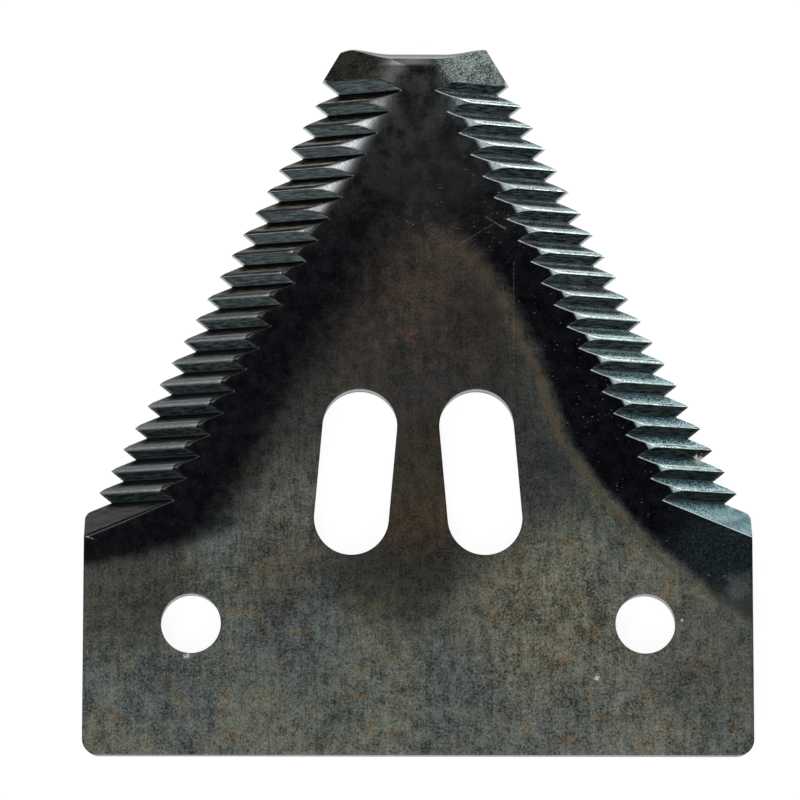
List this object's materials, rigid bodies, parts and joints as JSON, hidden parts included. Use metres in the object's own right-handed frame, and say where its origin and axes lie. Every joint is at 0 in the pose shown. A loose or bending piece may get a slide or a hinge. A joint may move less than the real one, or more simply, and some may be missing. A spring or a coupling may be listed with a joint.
{
  "type": "mower sickle section",
  "caption": "Flat tapered steel knife section with bevelled, serrated cutting edges on both sides, rivet holes in its foot and slanted windows, for a reciprocating mower bar.",
  "frame": {"origin": "midway between the two rivet holes, on the flat back face", "axes": "+Z out of the bevelled face, +Y towards the nose, +X along the line of the rivet holes"},
  "size_m": [0.0752, 0.0813, 0.003],
  "materials": {
    "blade_steel": "satin grey-brown mill finish with blued, hardened edges"
  },
  "bodies": {
    "root": {"sickle_section": "blade_steel"}
  },
  "joints": []
}
